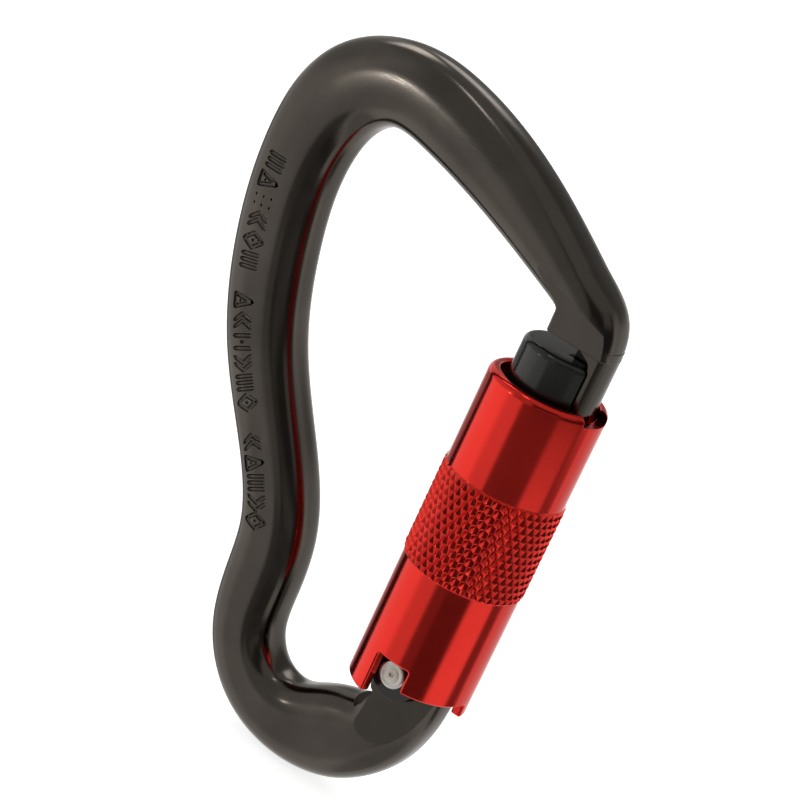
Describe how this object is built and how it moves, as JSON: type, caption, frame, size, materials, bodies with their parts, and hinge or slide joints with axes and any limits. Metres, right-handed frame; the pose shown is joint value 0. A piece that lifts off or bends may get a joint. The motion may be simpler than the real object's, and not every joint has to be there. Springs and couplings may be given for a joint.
{
  "type": "locking carabiner",
  "caption": "Pear-shaped twist-lock carabiner: forged bent-spine frame, hinged gate on a rivet, and a knurled sprung sleeve that locks the gate to the nose.",
  "frame": {"origin": "middle of the whole object's box at rest", "axes": "+Z along the gate and sleeve from hinge to nose, +X from the spine to the gate, Y through the flat thickness with the front at -Y"},
  "size_m": [0.0668, 0.0186, 0.104],
  "materials": {
    "gunmetal_anodised": "glossy grey-brown anodised forging",
    "black_anodised": "glossy black anodised",
    "red_anodised": "glossy red anodised, diamond knurled band",
    "stainless_steel": "satin",
    "spring_steel": "bright drawn wire",
    "black_acetal": "moulded"
  },
  "bodies": {
    "frame": {"frame": "gunmetal_anodised", "hinge_rivet": "stainless_steel"},
    "gate": {"gate_arm": "black_anodised", "guide_pin": "stainless_steel", "return_spring": "spring_steel", "closing_spring": "spring_steel"},
    "sleeve": {"locking_sleeve": "red_anodised", "guide_bush": "black_acetal", "snap_ring": "spring_steel"},
    "plunger": {"closing_plunger": "stainless_steel"}
  },
  "joints": [
    {"name": "gate_open", "type": "hinge", "parent": "frame", "child": "gate", "pos_m": [0.02413, 0, -0.02729], "axis": [0, -1, 0], "range_deg": [0, 30], "stiffness_Nm_per_rad": 0.25, "springref_deg": -34.38},
    {"name": "sleeve_twist", "type": "hinge", "parent": "gate", "child": "sleeve", "pos_m": [0.02413, 0, 0], "axis": [0, 0, 1], "range_deg": [-90, 0], "stiffness_Nm_per_rad": 0.02, "springref_deg": 45.84},
    {"name": "plunger_slide", "type": "slide", "parent": "gate", "child": "plunger", "axis": [0, 0, 1], "range_m": [0, 0.0015], "deforming": ["closing_spring"]}
  ],
  "couplings": [
    {"joint": "plunger_slide", "follows": "gate_open", "m_per_rad": 0.0027693}
  ]
}
